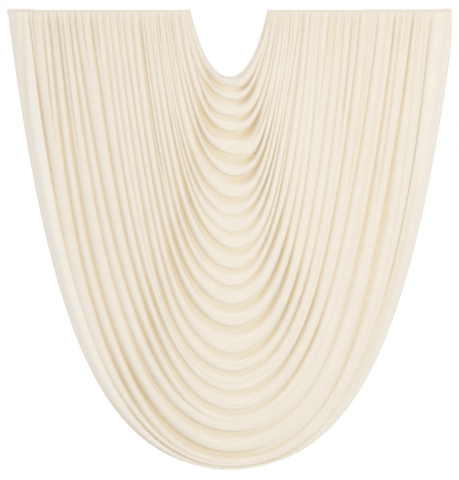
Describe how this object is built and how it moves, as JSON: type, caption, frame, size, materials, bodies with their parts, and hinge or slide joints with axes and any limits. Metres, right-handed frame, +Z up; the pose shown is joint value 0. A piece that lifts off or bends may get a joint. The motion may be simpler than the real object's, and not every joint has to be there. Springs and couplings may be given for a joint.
{
  "type": "swag drape",
  "caption": "Deep gathered swag of soft cream cloth that falls in curved folds between two straight sewn headings, with an open neck at the top.",
  "frame": {"origin": "middle of the top edge, halfway between the two headings, in the plane they hang in", "axes": "+X along the headings to the right as seen from the front, +Y towards the wall or frame behind, so the front faces -Y, +Z up"},
  "size_m": [1.502, 0.0966, 1.5507],
  "materials": {
    "swag_cloth": "matte",
    "heading_cloth": "matte"
  },
  "bodies": {
    "root": {"swag": "swag_cloth", "heading_left": "heading_cloth", "heading_right": "heading_cloth"}
  },
  "joints": []
}
